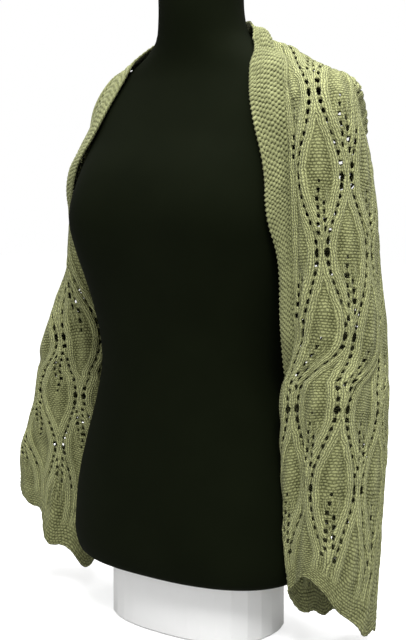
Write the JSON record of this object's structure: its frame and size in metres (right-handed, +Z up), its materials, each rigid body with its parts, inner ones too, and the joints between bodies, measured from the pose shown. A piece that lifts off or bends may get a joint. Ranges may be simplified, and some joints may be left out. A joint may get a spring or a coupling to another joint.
{
  "type": "knitted shrug on a dress form",
  "caption": "Open-fronted lace-knitted shrug with wide scalloped sleeves and a moss-stitch band, worn on a limbless dress form that stands on a recessed foot.",
  "frame": {"origin": "centre of the underside of the foot that the dress form stands on", "axes": "+Z up the form, -Y out of its front, +X to the garment's own left"},
  "size_m": [0.5992, 0.2677, 0.902],
  "materials": {
    "knit": "matte",
    "band_knit": "matte",
    "form_cover": "matte",
    "foot": "satin"
  },
  "bodies": {
    "root": {"dress_form": "form_cover", "form_foot": "foot", "left_front": "knit", "left_back": "knit", "right_front": "knit", "right_back": "knit", "left_front_band": "band_knit", "right_front_band": "band_knit", "left_hem_band": "band_knit", "right_hem_band": "band_knit"}
  },
  "joints": []
}
